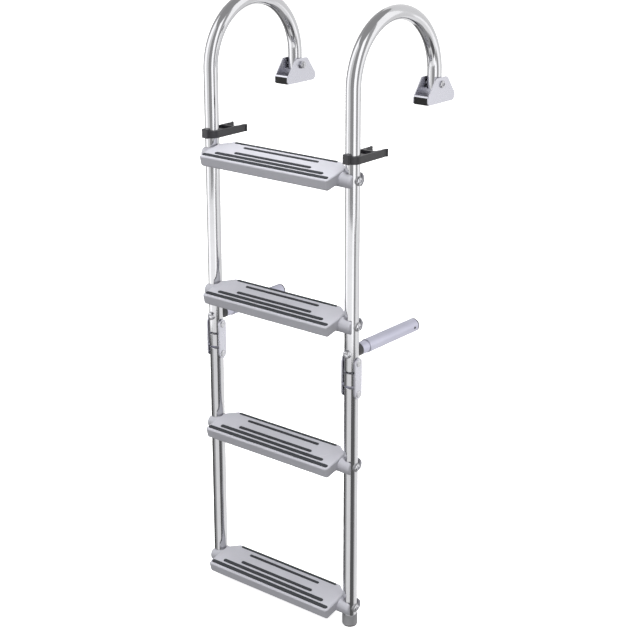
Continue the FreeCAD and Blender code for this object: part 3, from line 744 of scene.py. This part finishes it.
def makeEndCaps():
    cap = {"wall": 1.05, "floor": 3, "soft": 1.2}
    for side in sides:
        low, high = boxOf(f"end_cap_{side}")
        centre = (low + high) / 2
        place = movedTo((centre.x, centre.y, 0))
        outer = high.x - centre.x
        bore, soft = outer - cap["wall"], cap["soft"]
        part = turned(bmesh.new(), [(0, low.z), (outer - soft, low.z), (outer - 0.35, low.z + 0.35),
                                    (outer, low.z + soft), (outer, high.z - 0.5), (outer - 0.4, high.z),
                                    (bore, high.z), (bore, low.z + cap["floor"]),
                                    (0, low.z + cap["floor"])], place)
        finished(f"endCap_{side}", part, capPlastic, "lower_section", [f"end_cap_{side}"])
        low, high = boxOf(f"end_pad_{side}")
        outer = high.x - centre.x
        pad = turned(bmesh.new(), [(0, low.z + 0.4), (outer - 4, low.z + 0.4), (outer - 4.5, low.z),
                                   (outer - 0.6, low.z), (outer, low.z + 0.6), (outer, high.z),
                                   (0, high.z)], place)
        finished(f"endPad_{side}", pad, soleRubber, "lower_section", [f"end_pad_{side}"])
    print("end caps fitted")


def finishCadNodes():
    # inner parts whose plain round shapes are right as they are
    finishes = {"rung_bar": satin, "hook_end_plug": blackNylon, "hinge_plugs": satin,
                "standoff_insert": bright}
    for name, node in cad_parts.items():
        for start, material in finishes.items():
            if name.startswith(start):
                node.data.materials.clear()
                node.data.materials.append(material)
                node.data.set_sharp_from_angle(angle=math.radians(30))


# where the camera stands, in degrees and metres, seen from the middle of the ladder
shot = {"azimuth": 39.1, "elevation": 17.52, "distance": 2.6, "target": (0.0398, -0.1674, -0.2843),
        "lens": 84.375, "sensor": 36, "shift": -0.078}


def makeStudio():
    # white floor and wall, even light from all round, a large soft box overhead and a smaller one in front,
    # and grey cards that only reflections see
    studio = {"floor": "#F2F2F3", "floorPale": "#FAFAFA", "floorGlow": 0.75, "floorHalf": 12, "mottle": 3.0,
              "ambient": 0.42, "cardRadius": 1.5, "cardShift": 0.15, "wallRadius": 11.5, "wallTop": 16}
    floorZ = cadLow.z - 0.0005
    mesh = bmesh.new()
    bmesh.ops.create_grid(mesh, x_segments=4, y_segments=4, size=studio["floorHalf"])
    data = bpy.data.meshes.new("floor")
    mesh.to_mesh(data)
    mesh.free()
    floor = bpy.data.objects.new("floor", data)
    floor.location.z = floorZ
    material, tree, shader = startMaterial("painted studio floor", {
        "Roughness": 0.85, "Specular IOR Level": 0.1, "Emission Color": (1, 1, 1, 1),
        "Emission Strength": studio["floorGlow"]})
    way = addNode(tree, "TexCoord").outputs["Object"]
    mottle = addNode(tree, "TexNoise", {"Scale": studio["mottle"], "Detail": 3}, {"Vector": way})
    paint = addNode(tree, "Mix", {6: linearColour(studio["floor"]), 7: linearColour(studio["floorPale"])},
                    {0: mottle.outputs["Fac"]}, data_type="RGBA")
    tree.links.new(paint.outputs[2], shader.inputs["Base Color"])
    data.materials.append(material)
    floor.visible_glossy = floor.visible_diffuse = False
    bpy.context.scene.collection.objects.link(floor)

    world = bpy.data.worlds.new("studio")
    world.use_nodes = True
    world.node_tree.nodes["Background"].inputs["Color"].default_value = (1, 1, 1, 1)
    world.node_tree.nodes["Background"].inputs["Strength"].default_value = studio["ambient"]
    bpy.context.scene.world = world

    # degrees to the right of the camera as seen from the ladder, lowest and highest edge, brightness
    cards = [(-180, -112, -0.90, 2.0, 0.50), (-112, -70, -0.90, 2.0, 1.70), (-70, -38, -0.55, 2.0, 1.00),
             (-38, 8, -0.55, 2.0, 0.42), (8, 40, -0.55, 2.0, 1.70), (40, 68, -0.55, 2.0, 0.52),
             (68, 100, -0.55, 2.0, 1.50), (100, 180, -0.90, 2.0, 1.00),
             (-70, 0, -0.90, -0.55, 1.35), (0, 26, -0.90, -0.55, 1.7), (26, 52, -0.90, -0.55, 0.45),
             (52, 100, -0.90, -0.55, 1.20),
             (-180, -88, -2.2, -0.90, 0.14), (-88, -62, -2.2, -0.90, 0.5), (-62, 0, -2.2, -0.90, 1.05),
             (0, 50, -2.2, -0.90, 0.15), (50, 66, -2.2, -0.90, 0.6), (66, 180, -2.2, -0.90, 1.15)]
    # the white wall behind everything, far out and seen only directly
    cards.append((-180, 180, floorZ - 0.01, studio["wallTop"], 1.0))
    for number, (first, last, low, high, glow) in enumerate(cards):
        wall = last - first == 360
        radius = studio["wallRadius"] if wall else studio["cardRadius"]
        steps = max(2, int((last - first) / 6))
        mesh = bmesh.new()
        for index in range(steps + 1):
            turn = math.radians(shot["azimuth"] + first + (last - first) * index / steps)
            spot = Vector((math.sin(turn), -math.cos(turn), 0)) * radius
            pair = [mesh.verts.new((spot.x, spot.y - studio["cardShift"], z)) for z in (low, high)]
            if index:
                mesh.faces.new((*before, pair[1], pair[0]))
            before = pair
        data = bpy.data.meshes.new(f"card{number}")
        mesh.to_mesh(data)
        mesh.free()
        card = bpy.data.objects.new(f"card{number}", data)
        material = bpy.data.materials.new(f"card{number}")
        material.use_nodes = True
        tree = material.node_tree
        tree.nodes.remove(tree.nodes["Principled BSDF"])
        emission = addNode(tree, "Emission", {"Color": (1, 1, 1, 1), "Strength": glow})
        tree.links.new(emission.outputs[0], tree.nodes["Material Output"].inputs["Surface"])
        data.materials.append(material)
        card.visible_camera, card.visible_glossy = wall, not wall
        card.visible_diffuse = card.visible_shadow = card.visible_transmission = False
        bpy.context.scene.collection.objects.link(card)

    boxes = [("overhead", (0.4, -0.9, 6.0), (0, 0, -0.4), 5.0, 500),
             ("front", (0.4, -3.2, 1.4), (0, -0.1, -0.4), 1.8, 24)]
    for name, position, target, size, power in boxes:
        light = bpy.data.lights.new(name, "AREA")
        light.shape = "DISK"
        light.size = size
        light.energy = power
        lamp = bpy.data.objects.new(name, light)
        lamp.location = position
        lamp.rotation_euler = (Vector(target) - Vector(position)).to_track_quat("-Z", "Y").to_euler()
        lamp.visible_glossy = False
        bpy.context.scene.collection.objects.link(lamp)
    print("studio lit")


def makeCamera():
    data = bpy.data.cameras.new("camera")
    data.lens, data.sensor_width, data.shift_y = shot["lens"], shot["sensor"], shot["shift"]
    camera = bpy.data.objects.new("camera", data)
    turn, lift = math.radians(shot["azimuth"]), math.radians(shot["elevation"])
    back = Vector((math.sin(turn) * math.cos(lift), -math.cos(turn) * math.cos(lift), math.sin(lift)))
    camera.location = Vector(shot["target"]) + back * shot["distance"]
    camera.rotation_euler = (-back).to_track_quat("-Z", "Y").to_euler()
    data.clip_start, data.clip_end = 0.05, 100
    bpy.context.scene.collection.objects.link(camera)
    bpy.context.scene.camera = camera
    bpy.context.scene.view_settings.view_transform = "Standard"
    print("camera set")


makeStiles()
makeFeet()
makeTreads()
makeStepScrews()
makeClips()
makeStandoffs()
makeHinges()
makeEndCaps()
finishCadNodes()
makeStudio()
makeCamera()
